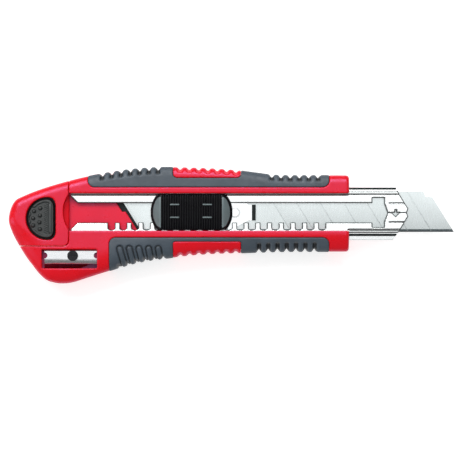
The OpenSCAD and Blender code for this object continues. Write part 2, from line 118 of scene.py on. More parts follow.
# Outline of the handle: the same knots as the CAD model's spline.
TAIL = (0, -2.8)
UPPER = [(2.4, 4.3), (7.7, 7.5), (18.4, 11.4), (33.8, 15.5), (49.3, 18.3), (62.6, 19.6),
         (75, 19.8), (88, 19.4), (100, 18.6), (109, 17.4), (119, 16.3), (134, 16.2)]
LOWER = [(1.4, -9), (5.1, -16.1), (10.4, -24), (15.7, -29.8), (20, -31.6), (24, -32),
         (28.5, -31.5), (36, -29.1), (46, -26), (58, -22.7), (70, -20.9), (85, -19.3),
         (104, -18.5), (120, -18), (134, -17.9)]
UPPER_CORNER, LOWER_CORNER = 1.5, 2.2
SPLINE_STEPS = 8
RIB_PITCH = 4.1


def catmull(p, steps):
    """Points of the Catmull-Rom spline through the knots p."""
    p = np.array(p, float)
    t = (np.arange(steps) / steps)[:, None]
    out = []
    for i in range(len(p) - 1):
        a, b, c, d = p[max(i - 1, 0)], p[i], p[i + 1], p[min(i + 2, len(p) - 1)]
        out.append(0.5 * (2 * b + (c - a) * t + (2 * a - 5 * b + 4 * c - d) * t ** 2
                          + (3 * b - a - 3 * c + d) * t ** 3))
    return np.vstack(out + [p[-1:]])


def arc(cx, cy, r, a0, a1, n):
    """n + 1 points on an arc, angles in degrees."""
    a = np.radians(np.linspace(a0, a1, n + 1))
    return np.column_stack([cx + r * np.cos(a), cy + r * np.sin(a)])


def handle_outline():
    """The handle's closed outline, and its two edges for looking up y at x."""
    curve = catmull(LOWER[::-1] + [TAIL] + UPPER, SPLINE_STEPS)
    tail = len(LOWER) * SPLINE_STEPS
    front = np.vstack([
        arc(FRONT_X - UPPER_CORNER, UPPER[-1][1] - UPPER_CORNER, UPPER_CORNER, 90, 0, 8),
        arc(FRONT_X - LOWER_CORNER, LOWER[-1][1] + LOWER_CORNER, LOWER_CORNER, 0, -90, 8)])
    return np.vstack([curve, front]), curve[tail:], curve[:tail + 1][::-1]


OUTLINE, UPPER_EDGE, LOWER_EDGE = handle_outline()


# ---------------------------------------------------- distance fields
def polygon_distance(pts, x, y):
    """Signed distance to a closed polygon, negative inside."""
    shape = np.broadcast(x, y).shape
    x = np.broadcast_to(x, shape)
    y = np.broadcast_to(y, shape)
    best = np.full(shape, 1e9)
    inside = np.zeros(shape, bool)
    for (ax, ay), (bx, by) in zip(pts, np.roll(pts, -1, axis=0)):
        ex, ey = bx - ax, by - ay
        t = np.clip(((x - ax) * ex + (y - ay) * ey) / (ex * ex + ey * ey + 1e-12), 0, 1)
        best = np.minimum(best, (x - ax - t * ex) ** 2 + (y - ay - t * ey) ** 2)
        if ay != by:
            crosses = ((ay > y) != (by > y)) & (x < ax + (y - ay) * ex / ey)
            inside ^= crosses
    return np.where(inside, -1, 1) * np.sqrt(best)


def box_distance(x, y, x0, x1, y0, y1, r=0.0):
    """Signed distance to a rectangle with corner radius r."""
    qx = np.abs(x - (x0 + x1) / 2) - (x1 - x0) / 2 + r
    qy = np.abs(y - (y0 + y1) / 2) - (y1 - y0) / 2 + r
    return np.hypot(np.maximum(qx, 0), np.maximum(qy, 0)) + np.minimum(np.maximum(qx, qy), 0) - r


def capsule_distance(x, y, a, b, r):
    """Signed distance to a round-ended bar from a to b."""
    ex, ey = b[0] - a[0], b[1] - a[1]
    t = np.clip(((x - a[0]) * ex + (y - a[1]) * ey) / (ex * ex + ey * ey), 0, 1)
    return np.hypot(x - a[0] - t * ex, y - a[1] - t * ey) - r


def smax(a, b, k=0.3):
    """Intersection with an edge rounded over about k."""
    h = np.maximum(k - np.abs(a - b), 0) / k
    return np.maximum(a, b) + h * h * k / 4


def smin(a, b, k=0.3):
    """Union with a fillet of about k."""
    return -smax(-a, -b, k)


def carve(body, tool, k=0.3):
    """Body less tool."""
    return smax(body, -tool, k)


def dished_edge(d, z, reach, drop):
    """A slab z < 0 inside d < 0 whose rim rolls over by drop across reach."""
    a = np.maximum((d + reach) / reach, 0)
    b = np.maximum((z + drop) / drop, 0)
    h = np.hypot(a, b)
    corner = h * (h - 1) / np.maximum(np.hypot(a / reach, b / drop), 1e-9)
    return np.where((a > 0) & (b > 0), corner, np.maximum(d, z))


class Grid:
    """Sample points of a box, with steps of about h, in millimetres."""

    def __init__(self, lo, hi, h):
        h = np.broadcast_to(np.array(h, float) * (1.0), 3)
        self.h = h
        self.lo = np.array(lo, float) - 1.5 * h
        n = np.ceil((np.array(hi, float) + 1.5 * h - self.lo) / h).astype(int) + 1
        axes = [self.lo[i] + h[i] * np.arange(n[i]) for i in range(3)]
        self.x = axes[0][:, None, None]
        self.y = axes[1][None, :, None]
        self.z = axes[2][None, None, :]

    def net(self, field):
        """Surface net of field = 0: points in millimetres and quads."""
        inside = field < 0
        cells = np.array(field.shape) - 1
        size = int(np.prod(cells))
        sums = [np.zeros(size) for _ in range(3)]
        count = np.zeros(size)
        faces = []
        for a in range(3):
            b, c = (a + 1) % 3, (a + 2) % 3
            near = [slice(None)] * 3
            far = [slice(None)] * 3
            near[a], far[a] = slice(0, -1), slice(1, None)
            near, far = tuple(near), tuple(far)
            where = np.nonzero(inside[near] != inside[far])
            f0, f1 = field[near][where], field[far][where]
            point = np.column_stack(where).astype(float)
            point[:, a] += f0 / (f0 - f1)
            corner = []
            valid = np.ones(len(point), bool)
            for db, dc in ((0, 0), (-1, 0), (-1, -1), (0, -1)):
                cell = np.column_stack(where)
                cell[:, b] += db
                cell[:, c] += dc
                valid &= np.all((cell >= 0) & (cell < cells), axis=1)
                flat = np.ravel_multi_index(tuple(np.clip(cell, 0, cells - 1).T), cells)
                corner.append(flat)
            for flat in corner:
                for i in range(3):
                    sums[i] += np.bincount(flat, point[:, i], size)
                count += np.bincount(flat, minlength=size)
            quad = np.column_stack(corner)
            flip = ~inside[near][where]
            quad[flip] = quad[flip][:, ::-1]
            faces.append(quad[valid])
        faces = np.vstack(faces)
        used = np.unique(faces)
        index = np.full(size, -1)
        index[used] = np.arange(len(used))
        points = np.column_stack([s[used] / count[used] for s in sums]) * self.h + self.lo
        return points, index[faces]


def to_world(points):
    """Points of the knife's datum, in millimetres, to the frame's metres."""
    return np.asarray(points, float) * MM + ORIGIN


def mesh_object(name, points, faces, material):
    """A mesh object from points in the knife's datum."""
    mesh = bpy.data.meshes.new(name)
    mesh.from_pydata(to_world(points).tolist(), [], np.asarray(faces).tolist())
    mesh.validate()
    mesh.materials.append(material)
    obj = bpy.data.objects.new(name, mesh)
    bpy.context.scene.collection.objects.link(obj)
    return obj


def apply_modifiers(obj):
    """Bakes an object's modifiers into its mesh."""
    graph = bpy.context.evaluated_depsgraph_get()
    baked = bpy.data.meshes.new_from_object(obj.evaluated_get(graph))
    old = obj.data
    obj.modifiers.clear()
    obj.data = baked
    bpy.data.meshes.remove(old)


def from_field(name, grid, field, material, keep=0.35):
    """The surface of a field as an object, with its flat stretches thinned out."""
    points, faces = grid.net(field)
    obj = mesh_object(name, points, faces, material)
    thin = obj.modifiers.new("thin", "DECIMATE")
    thin.ratio = keep
    apply_modifiers(obj)
    obj.data.shade_smooth()
    return obj


# ------------------------------------------------------------- materials
class Nodes:
    """A new material's node tree, with short calls for the nodes used here."""

    def __init__(self, name, base, roughness, metallic=0.0):
        self.mat = bpy.data.materials.new(name)
        self.mat.use_nodes = True
        self.tree = self.mat.node_tree
        self.shader = self.tree.nodes["Principled BSDF"]
        self.shader.inputs["Base Color"].default_value = (*base, 1)
        self.shader.inputs["Roughness"].default_value = roughness
        self.shader.inputs["Metallic"].default_value = metallic
        self.mat.diffuse_color = (*base, 1)
        self.coords = self.tree.nodes.new("ShaderNodeTexCoord").outputs["Object"]
        self.normal = None

    def link(self, a, b):
        """Joins an output to an input."""
        self.tree.links.new(a, b)

    def noise(self, size_mm, stretch=(1, 1, 1), detail=3.0):
        """Noise with features of about size_mm, drawn out along an axis by stretch."""
        place = self.tree.nodes.new("ShaderNodeMapping")
        place.inputs["Scale"].default_value = tuple(1 / (size_mm * MM * s) for s in stretch)
        self.link(self.coords, place.inputs["Vector"])
        node = self.tree.nodes.new("ShaderNodeTexNoise")
        node.inputs["Scale"].default_value = 1.0
        node.inputs["Detail"].default_value = detail
        self.link(place.outputs["Vector"], node.inputs["Vector"])
        return node.outputs["Fac"]

    def spread(self, value, low, high):
        """Maps noise of 0.3 to 0.7 onto a range."""
        node = self.tree.nodes.new("ShaderNodeMapRange")
        node.inputs["From Min"].default_value = 0.3
        node.inputs["From Max"].default_value = 0.7
        node.inputs["To Min"].default_value = low
        node.inputs["To Max"].default_value = high
        self.link(value, node.inputs["Value"])
        return node.outputs["Result"]

    def tint(self, value, low, high):
        """Base colour that varies between two colours with a value."""
        mix = self.tree.nodes.new("ShaderNodeMix")
        mix.data_type = "RGBA"
        mix.inputs["A"].default_value = (*low, 1)
        mix.inputs["B"].default_value = (*high, 1)
        self.link(self.spread(value, 0, 1), mix.inputs["Factor"])
        self.link(mix.outputs["Result"], self.shader.inputs["Base Color"])

    def rough(self, value, low, high):
        """Roughness that varies over a range with a value."""
        self.link(self.spread(value, low, high), self.shader.inputs["Roughness"])

    def bump(self, value, height_mm):
        """Raises the surface by a value, on top of any bump set before."""
        node = self.tree.nodes.new("ShaderNodeBump")
        node.inputs["Strength"].default_value = 1.0
        node.inputs["Distance"].default_value = height_mm * MM
        self.link(value, node.inputs["Height"])
        if self.normal is not None:
            self.link(self.normal, node.inputs["Normal"])
        self.normal = node.outputs["Normal"]
        self.link(self.normal, self.shader.inputs["Normal"])


def shade(color, factor):
    """A colour made lighter or darker by a factor."""
    return tuple(min(c * factor, 1.0) for c in color)


def red_plastic(name, color):
    """Glossy moulded plastic with a faint ripple and handling marks."""
    n = Nodes(name, color, 0.32)
    n.tint(n.noise(18), shade(color, 0.93), shade(color, 1.05))
    n.rough(n.noise(5, detail=5), 0.24, 0.36)
    n.bump(n.noise(1.1), 0.012)
    n.bump(n.noise(0.22), 0.006)
    n.shader.inputs["Specular IOR Level"].default_value = 0.75
    n.shader.inputs["Specular Tint"].default_value = (0.5, 0.5, 1.0, 1)
    return n.mat


def soft_rubber(name, color):
    """Fine-grained thermoplastic rubber."""
    n = Nodes(name, color, 0.55)
    n.tint(n.noise(9, detail=5), shade(color, 0.82), shade(color, 1.18))
    n.rough(n.noise(2.5), 0.45, 0.62)
    n.bump(n.noise(0.35, detail=4), 0.05)
    n.shader.inputs["Specular IOR Level"].default_value = 0.85
    return n.mat


def satin_plastic(name, color):
    """Black moulded plastic with a spark-eroded texture."""
    n = Nodes(name, color, 0.35)
    n.tint(n.noise(4), shade(color, 0.8), shade(color, 1.3))
    n.rough(n.noise(1.8), 0.25, 0.38)
    n.bump(n.noise(0.3), 0.02)
    n.shader.inputs["Specular IOR Level"].default_value = 0.18
    return n.mat


def steel(name, color, low, high, grain=(30, 1, 1), line_mm=0.15, depth=0.0015):
    """Steel brushed along the long axis of grain."""
    n = Nodes(name, color, (low + high) / 2, metallic=1.0)
    n.tint(n.noise(14, detail=4), shade(color, 0.96), shade(color, 1.03))
    lines = n.noise(line_mm, stretch=grain, detail=2)
    n.rough(lines, low, high)
    n.bump(lines, depth)
    return n.mat


def coated_metal(name, color, roughness):
    """Blackened or cast metal with a slightly pitted skin."""
    n = Nodes(name, color, roughness, metallic=0.8)
    n.tint(n.noise(1.5, detail=5), shade(color, 0.75), shade(color, 1.25))
    n.rough(n.noise(0.8), roughness - 0.08, roughness + 0.1)
    n.bump(n.noise(0.25), 0.015)
    return n.mat


RED = red_plastic("red_moulding", (0.88, 0.005, 0.007))
# A darker copy of the red moulding: painted shade for the sharpener block down in its recess.
SHARPENER_SHADE_RED = red_plastic("sharpener_block_painted_shade_red", (0.22, 0.003, 0.008))
# A darker copy of the grip rubber: painted shade for the ribs' valleys.
GRIP_GROOVE_SHADE = soft_rubber("grip_rubber_painted_groove_shade", (0.012, 0.016, 0.02))
GRIP = soft_rubber("grip_rubber", (0.052, 0.074, 0.098))
PAD = soft_rubber("button_rubber", (0.012, 0.017, 0.017))
# A light grey copy of the rubber: painted reflection on the slider's sloped ends and bar tops.
SLIDER_PAINTED_SHEEN = soft_rubber("slider_painted_reflection_grey", (0.15, 0.20, 0.21))
BLACK = satin_plastic("black_moulding", (0.0045, 0.0045, 0.006))
GUIDE_STEEL = steel("guide_sheet", (0.90, 0.93, 0.935), 0.16, 0.27)
BLADE_STEEL = steel("blade_ground", (0.76, 0.82, 0.825), 0.24, 0.34, grain=(1, 22, 1))
# A dark copy of the blade steel: painted shade on the ground bevels of the blades.
BEVEL_SHADE_STEEL = steel("blade_bevel_painted_shade", (0.22, 0.26, 0.275), 0.2, 0.3, grain=(1, 22, 1))
# A near-black copy of the steel: painted shade along the guide's lip edges and the stud's sides.
EDGE_SHADE_STEEL = steel("steel_edge_painted_shade", (0.09, 0.1, 0.1), 0.3, 0.45)
# A black copy of the steel: painted shade on the tray's floor and wall tops and on the clip's lip.
BLACK_SHADE_STEEL = steel("steel_painted_black_shade", (0.03, 0.036, 0.036), 0.3, 0.45)
CLIP_STEEL = steel("clip_sheet", (0.88, 0.91, 0.92), 0.12, 0.24, grain=(1, 20, 1))
SPRING_STEEL = steel("spring_wire", (0.52, 0.54, 0.56), 0.25, 0.4)
SHARP_STEEL = steel("sharpener_steel", (0.80, 0.82, 0.84), 0.2, 0.34, grain=(24, 1, 1))
SCREW_STEEL = steel("plated_screw", (0.62, 0.63, 0.65), 0.18, 0.32, grain=(1, 1, 1), line_mm=0.5)
BLACK_SCREW = coated_metal("black_oxide", (0.02, 0.02, 0.023), 0.35)
NOSE_CAST = coated_metal("zinc_casting", (0.42, 0.44, 0.45), 0.42)


# --------------------------------------------------------- handle fields
PROUD = 0.15         # the grips stand this far over the shells' faces
SEAM = 0.05          # half the gap of a parting line
CAP_GAP = 0.12       # between the shells and the rear cap
GRIP_T = 2.3         # thickness of the grips' skin
GRIP_X = (35.3, 44.6, 141.8)       # rear ends of the upper and lower grip, front end
BACK_GRIP_X0 = 48    # rear end of the upper grip on the back
PANEL_X = (72.8, 102.9)            # ends of the ribbed red panels
CAP_CORNER = 2.4
PENCIL_APEX = (41.5, -23.1, 14.95)
PENCIL_TILT = math.radians(11)


def wave(u, first, count, pitch=RIB_PITCH):
    """0 on the ribs, 1 in the valleys between count ribs; 0 outside them."""
    phase = (u - first) / pitch
    valley = (0.5 - 0.5 * np.cos(2 * np.pi * phase)) ** 2
    return np.where((phase > 0) & (phase < count - 1), valley, 0)


def fade(v, start, stop):
    """Smooth step from 0 at start to 1 at stop."""
    t = np.clip((v - start) / (stop - start), 0, 1)
    return t * t * (3 - 2 * t)


def side_distance(x, y):
    """Distance to the handle's outline as if it ran on past its front end."""
    pts = np.vstack([OUTLINE[:len(UPPER_EDGE) + len(LOWER_EDGE) - 1],
                     [[FRONT_X + 20, UPPER[-1][1]], [FRONT_X + 20, LOWER[-1][1]]]])
    return polygon_distance(pts, x, y)


class HandleField:
    """The handle's whole outer form on a grid, with its ribs."""

    def __init__(self, grid):
        self.g = grid
        x, y, z = grid.x, grid.y, grid.z
        d = side_distance(x[:, :, 0], y[:, :, 0])[:, :, None]
        belly = fade(-y, 2, 15)
        front = dished_edge(d, z - HANDLE_T, 4.2 + 6.5 * belly, 2.8 + 1.8 * belly)
        back = dished_edge(d, -z, 4.0, 2.6)
        self.plain = smax(np.maximum(front, back), x - FRONT_X, 1.6)
        self.body = self.plain + self.ribs(x, y, d)

    @staticmethod
    def ribs(x, y, d):
        """How far each place is sunk below the plain form."""
        upper = (1.5 * wave(x, 39.6, 8) * fade(d, -3.8, -2.4)
                 + 1.1 * wave(x, 73.9, 8) * fade(d, -2.9, -1.4)
                 + 1.4 * wave(x, 114.4, 7) * fade(d, -3.4, -2.2))
        slanted = x + 0.275 * (y + 20)
        lower = (1.0 * wave(slanted, 45.6, 7) * fade(d, -2.4, -0.8)
                 + 1.0 * wave(x, 73.9, 8) * fade(d, -2.4, -0.8)
                 + 1.6 * wave(x, 108.8, 8) * fade(d, -4.8, -3.6))
        for i in range(5):
            bar = capsule_distance(x, y, (49.4 + 4.25 * i, -16.5), (52.6 + 3.95 * i, -28), 1.3)
            lower = lower + 0.75 * np.exp(-(bar / 0.36) ** 2)
        return np.where(y > 0, upper, lower)

    def cap_region(self):
        """Distance to the part of the handle that the rear cap takes up."""
        r = CAP_CORNER
        qx = self.g.x - CAP_X + r
        qy = CAP_LOW_Y - self.g.y + r
        return (np.hypot(np.maximum(qx, 0), np.maximum(qy, 0))
                + np.minimum(np.maximum(qx, qy), 0) - r)

    def upper_grip_region(self, x0):
        """Distance to the upper grip's outline, less its red panel."""
        x, y = self.g.x, self.g.y
        grip = box_distance(x, y, x0, GRIP_X[2], 10.75, 30, 3)
        panel = box_distance(x, y, PANEL_X[0], PANEL_X[1], 14.9, 34, 2)
        return np.maximum(grip, -panel)

    def lower_grip_region(self):
        """Distance to the lower grip's outline, less its red panel."""
        x, y = self.g.x, self.g.y
        grip = box_distance(x, y, GRIP_X[1], GRIP_X[2], -36, -11.4, 3)
        panel = box_distance(x, y, PANEL_X[0], PANEL_X[1], -36, -13.2, 1)
        return np.maximum(grip, -panel)

    def grip(self, region):
        """A skin over the handle, inside a region."""
        skin = smax(self.body, -(self.plain + GRIP_T + 0.02), 0.1)
        return smax(skin, region + SEAM, 0.35)

    def shell(self, regions):
        """The handle without the rear cap, sunk where the grips' regions lie."""
        shell = self.body + PROUD
        for region in regions:
            shell = carve(shell, np.maximum(region - SEAM, -(self.plain + GRIP_T)), 0.3)
        return smax(shell, CAP_GAP - self.cap_region(), 0.35)


def sharpener_cuts(body, g, plain):
    """Takes the pencil's way in and the sharpener's block out of a shell."""
    ax, ay, az = PENCIL_APEX
    across = (g.x - ax) * math.sin(PENCIL_TILT) - (g.z - az) * math.cos(PENCIL_TILT)
    way = np.maximum(np.hypot(across, g.y - ay) - 4.6, g.x - 15.1)
    body = carve(body, way, 0.8)
    block = np.maximum(box_distance(g.x, g.y, 15, 42.4, -28.2, -17.4),
                       np.maximum(4.6 - g.z, g.z - 14.9))
    return np.maximum(body, -np.maximum(block, plain + 1.3))


def screw_cuts(body, g, screws):
    """Takes the case screws' heads and shanks out of a piece."""
    for x, y in screws:
        r = np.hypot(g.x - x, g.y - y)
        body = carve(body, np.maximum(r - 2.05, g.z - 1.95), 0.3)
        body = np.maximum(body, -(r - 1.2))
    return body


def screw_places():
    """Centres of the case screws, from their CAD solids' islands."""
    verts = np.array([v.co[:] for v in frame["nodes"]["case_screws"].data.vertices])
    left, out = (verts - ORIGIN) / MM, []
    while len(left):
        near = np.hypot(*(left[:, :2] - left[0, :2]).T) < 6
        group = left[near]
        out.append(tuple((group.min(0)[:2] + group.max(0)[:2]) / 2))
        left = left[~near]
    return out


def make_front_shell():
    """Slider-side shell: window, room for the guide, sharpener's recess."""
    g = Grid((4, -33, SPLIT_Z - 0.2), (FRONT_X, 20.2, HANDLE_T), 0.32)
    h = HandleField(g)
    shell = h.shell([h.upper_grip_region(GRIP_X[0]), h.lower_grip_region()])
    shell = smax(shell, SPLIT_Z + SEAM - g.z, 0.3)
    guide = np.maximum(box_distance(g.x, g.y, 20, 170, -12.8, 10.9),
                       np.maximum(8.8 - g.z, g.z - 14.9))
    shell = np.maximum(shell, -guide)
    window = np.maximum(box_distance(g.x, g.y, 20, 170, *WINDOW), 10 - g.z)
    shell = carve(shell, window, 0.5)
    shell = np.maximum(shell, -box_distance(g.x, g.y, *WELL))
    shell = sharpener_cuts(shell, g, h.plain)
    recess = np.maximum(box_distance(g.x, g.y, 14.9, 39.3, -25.1, -16.7, 0.6), 14.5 - g.z)
    shell = carve(shell, recess, 0.5)
    return from_field("front_shell_moulding", g, shell, RED)


def make_back_shell(screws):
    """Back shell with the magazine's well and the screws' recesses."""
    g = Grid((4, -33, 0), (FRONT_X, 20.2, SPLIT_Z + 0.2), 0.34)
    h = HandleField(g)
    shell = h.shell([h.upper_grip_region(BACK_GRIP_X0), h.lower_grip_region()])
    shell = smax(shell, g.z - SPLIT_Z + SEAM, 0.3)
    well = np.maximum(box_distance(g.x, g.y, *WELL), 2.2 - g.z)
    shell = np.maximum(shell, -well)
    shell = sharpener_cuts(shell, g, h.plain)
    shell = screw_cuts(shell, g, screws)
    return from_field("back_shell_moulding", g, shell, RED)


def make_grip(name, upper, front, screws):
    """One of the four soft grips, with painted shade down in its valleys."""
    x0 = GRIP_X[0] if front else BACK_GRIP_X0
    y = (10, 20.2) if upper else (-27.5, -11)
    z = (SPLIT_Z, HANDLE_T) if front else (0, SPLIT_Z)
    g = Grid((x0 if upper else GRIP_X[1], y[0], z[0]), (GRIP_X[2], y[1], z[1]), 0.27)
    h = HandleField(g)
    grip = h.grip(h.upper_grip_region(x0) if upper else h.lower_grip_region())
    grip = smax(grip, (SPLIT_Z + SEAM - g.z) if front else (g.z - SPLIT_Z + SEAM), 0.3)
    if not front:
        grip = screw_cuts(grip, g, screws)
    obj = from_field(name, g, grip, GRIP, keep=0.4)
    # Painted shade: faces sunk more than 0.5 mm between the ribs get the darker rubber.
    paint_where(obj, GRIP_GROOVE_SHADE, lambda p, n: HandleField.ribs(
        p[:, 0], p[:, 1], side_distance(p[:, 0], p[:, 1])) > 0.5)
    return obj


BUTTON_X, BUTTON_Y = 17.4, -3.1
BUTTON_FACE_Z = 16.8
BUMPS = [(11.5, 0.2), (14.3, 1.5), (11.1, -2.9), (14.1, -1.7), (11.1, -6.1), (13.9, -4.7),
         (14.1, -7.7)]


def button_plan(g, shrink):
    """The D-shaped outline of the button's pocket, shrunk all round."""
    disc = np.hypot(g.x - BUTTON_X, g.y - BUTTON_Y) - 9.4
    return smax(disc, g.x - 21.1, 3.0) + shrink


def make_rear_cap():
    """Hollow end cap with the button's pocket and a scooped front edge."""
    g = Grid((0, CAP_LOW_Y, 0), (CAP_X, 14.2, HANDLE_T), 0.28)
    h = HandleField(g)
    cap = smax(h.body + PROUD, h.cap_region() + 0.03, 0.35)
    cap = carve(cap, np.maximum(button_plan(g, 0), 13 - g.z), 0.6)
    inner = np.maximum(np.maximum(h.plain + 2.3, h.cap_region() + 2.2),
                       np.maximum(2 - g.z, g.z - 14.4))
    cap = np.maximum(cap, -inner)
    tongue = np.maximum(np.abs(g.y) - 8.95, np.maximum(9.95 - g.z, g.z - 12.35))
    cap = np.maximum(cap, -np.maximum(tongue, 22 - g.x))
    scoop = np.hypot(g.x - 38.1, g.y + 0.15) - 13.7
    scoop = np.maximum(scoop, box_distance(g.x, g.y, 15, 40, *WINDOW))
    floor = 14.6 + 0.5 * (CAP_X - g.x)
    cap = carve(cap, np.maximum(scoop, floor - g.z), 0.35)
    return from_field("rear_cap_moulding", g, cap, RED)


# ------------------------------------------------------- slider and button
SLIDER_X = (62.8, 99.2)
SLIDER_Y = (-8.2, 7.6)
SLIDER_TOP = 19.4
SLIDER_END_R = 11.8
FACET_X = 4.9                      # length of each sloped end
FACET_Z = 15.5                     # height of its outer edge
THUMB_PITCH = 1.07
BAR_X = (71.5, 85.9)
PAWL_X, PAWL_HALF = 87.04, 1.3


def paint_where(obj, material, test):
    """Gives a second material to the faces whose centre and normal pass the test."""
    obj.data.materials.append(material)
    count = len(obj.data.polygons)
    centres = np.empty(count * 3)
    normals = np.empty(count * 3)
    obj.data.polygons.foreach_get("center", centres)
    obj.data.polygons.foreach_get("normal", normals)
    chosen = test((centres.reshape(-1, 3) - ORIGIN) / MM, normals.reshape(-1, 3))
    obj.data.polygons.foreach_set("material_index", chosen.astype(np.int32))


def slider_plan(x, y):
    """Distance to the slider's outline seen from above."""
    mid, yc = sum(SLIDER_X) / 2, sum(SLIDER_Y) / 2
    half, side = mid - SLIDER_X[0], yc - SLIDER_Y[0]
    ends = np.hypot(np.maximum(np.abs(x - mid) - half + SLIDER_END_R, 0), y - yc) - SLIDER_END_R
    return smax(ends, np.abs(y - yc) - side, 1.2)


def make_slider():
    """Thumb button with a saddle top, cross ribs, four bars and sloped ends."""
    g = Grid((SLIDER_X[0], SLIDER_Y[0], 13.85), (SLIDER_X[1], SLIDER_Y[1], SLIDER_TOP), 0.135)
    x, y, z = g.x, g.y, g.z
    mid, yc = sum(SLIDER_X) / 2, sum(SLIDER_Y) / 2
    out = np.abs(x - mid)
    deck = mid - SLIDER_X[0] - FACET_X
    plan = slider_plan(x, y)
    saddle = SLIDER_TOP - 0.5 - 0.45 * np.maximum(1 - (out / deck) ** 2, 0)
    crown = 0.5 * (np.abs(y - yc) / (yc - SLIDER_Y[0])) ** 3
    facet = FACET_Z + (deck + FACET_X - out) * (SLIDER_TOP - FACET_Z) / FACET_X
    facet = facet - 0.5 * fade(plan, -1.25, -0.95)
    body = smax(smax(plan, z - saddle + crown, 0.7), (z - facet) * 0.76, 0.25)
    rib = 0.5 - 0.5 * np.cos(2 * np.pi * (x - 67.64) / THUMB_PITCH)
    body = body + 0.5 * rib ** 2 * (out < deck - 0.3) * fade(-plan, 0.15, 0.5)
    body = np.maximum(body, 14.9 - z)
    for px in BAR_X:
        for edge in (-2.9, 2.75):
            bar = smax(box_distance(x, y, px, px + 4.2, edge, edge + 0.65, 0.3),
                       z - SLIDER_TOP, 0.3)
            body = np.minimum(body, np.maximum(bar, 14.9 - z))
    neck = np.maximum(box_distance(x, y, SLIDER_X[0] + 3.2, SLIDER_X[1] - 3.2, -4.43, 3.41, 0.3),
                      np.maximum(13.87 - z, z - 15))
    slot = np.maximum(box_distance(x, y, PAWL_X - PAWL_HALF, PAWL_X + PAWL_HALF, -6, 2.81),
                      np.maximum(13.95 - z, z - 14.8))
    body = np.minimum(body, np.maximum(neck, -slot))
    obj = from_field("slider_button_moulding", g, body, BLACK)

    # Painted reflection: the sloped ends and the tops of the four bars get the light grey.
    def light(p, n):
        end = (n[:, 2] > 0.5) & (np.abs(p[:, 0] - mid) > deck + 0.2) & (p[:, 2] > 15)
        end &= slider_plan(p[:, 0], p[:, 1]) < -1.1
        bars = (p[:, 2] > SLIDER_TOP - 0.3) & (np.abs(p[:, 0] - mid) < deck - 1)
        return end | bars

    paint_where(obj, SLIDER_PAINTED_SHEEN, light)
    return obj


def make_release_button():
    """Push button with domes, a knurled strip and a plain bar."""
    g = Grid((8, -12.6, 4), (20.2, 6.4, 17.75), 0.15)
    x, y, z = g.x, g.y, g.z
    plan = button_plan(g, 1)
    top = BUTTON_FACE_Z + 0.4 * fade(plan, -1.2, -0.85)
    for bx, by in BUMPS:
        r = np.hypot(x - bx, y - by)
        dome = 0.85 * np.sqrt(np.maximum(1 - (r / 0.95) ** 2, 0))
        top = np.maximum(top, BUTTON_FACE_Z + dome)
        top = top - 0.9 * np.exp(-((r - 1.3) / 0.36) ** 2)
    strip = fade(-box_distance(x, y, 15.9, 17.6, -9.6, 3.6, 0.4), -0.1, 0.1)
    teeth = 0.5 + 0.5 * np.cos(2 * np.pi * (y + 0.5 * x) / 0.85)
    top = top + strip * (0.6 * teeth - 0.35)
    bar = fade(-box_distance(x, y, 17.9, 19.4, -9.5, 3.5, 0.4), -0.12, 0.12)
    top = np.maximum(top, BUTTON_FACE_Z + 0.6 * bar)
    pad = np.maximum(smax(plan, z - top, 0.35), 13.5 - z)
    flange = np.maximum(np.maximum(button_plan(g, -0.5), side_distance(x, y) + 2.3),
                        np.maximum(12.9 - z, z - 14.1))
    stem = np.maximum(np.hypot(x - 14.5, y - BUTTON_Y) - 1.6, np.maximum(4 - z, z - 13))
    body = smin(smin(pad, flange, 0.2), stem, 0.3)
    obj = from_field("release_button_moulding", g, body, PAD)
    # Faces below 16.62 mm and steep sides get the black plastic: painted shade in the moats round the domes
    # and in the knurl's valleys.
    paint_where(obj, BLACK, lambda p, n: (p[:, 2] < 16.62) | (n[:, 2] < 0.3))
    return obj


# ------------------------------------------------------------ steel guide
COVER_X0, COVER_Y = 27.4, 9.85
NOSE = [(164, -20), (170.1, -12.6), (173.2, -8.5), (175.2, -5), (176.9, -2.2), (176.3, -0.4),
        (177, 1.3), (175.3, 4), (173.2, 7.5), (171.5, 10.7), (166, 20)]
LIP_SLOT = (-4.78, 3.76)
CROSS_X = (161.1, 166.3)           # ends of the cross-slot
NOTCH_X0, NOTCH_PITCH, NOTCH_COUNT = 45.6, 5.18, 19
NOTCH_HALF, NOTCH_DEPTH = 1.4, 3.2


def slot_distance(x, y):
    """The opening between the guide's lips, with the rack's notches and the arrow."""
    y0, y1 = LIP_SLOT
    slot = box_distance(x, y, COVER_X0 - 5, CROSS_X[1], y0, y1)
    mouth = COVER_X0 + 3.1 - x
    spread = np.maximum(np.abs(y - (y0 + y1) / 2) - (y1 - y0) / 2 - mouth, -mouth)
    slot = np.minimum(slot, spread * 0.71)
    for i in range(NOTCH_COUNT):
        nx = NOTCH_X0 + NOTCH_PITCH * i
        notch = box_distance(x, y, nx - NOTCH_HALF, nx + NOTCH_HALF,
                             y0 - NOTCH_DEPTH, y0 + 1.5, 0.8)
        slot = np.minimum(slot, notch)
    slot = np.minimum(slot, box_distance(x, y, *CROSS_X, -6.9, 6.1, 0.3))
    for shape in ([(CROSS_X[1] - 0.1, y1), (167.8, -0.6), (CROSS_X[1] - 0.1, y0)],
                  [(169.8, -0.5), (171.4, -2.1), (173, -0.5), (171.7, -0.5), (171.7, 0.7),
                   (171.1, 0.7), (171.1, -0.5)]):
        slot = np.minimum(slot, polygon_distance(shape, x, y))
    return slot


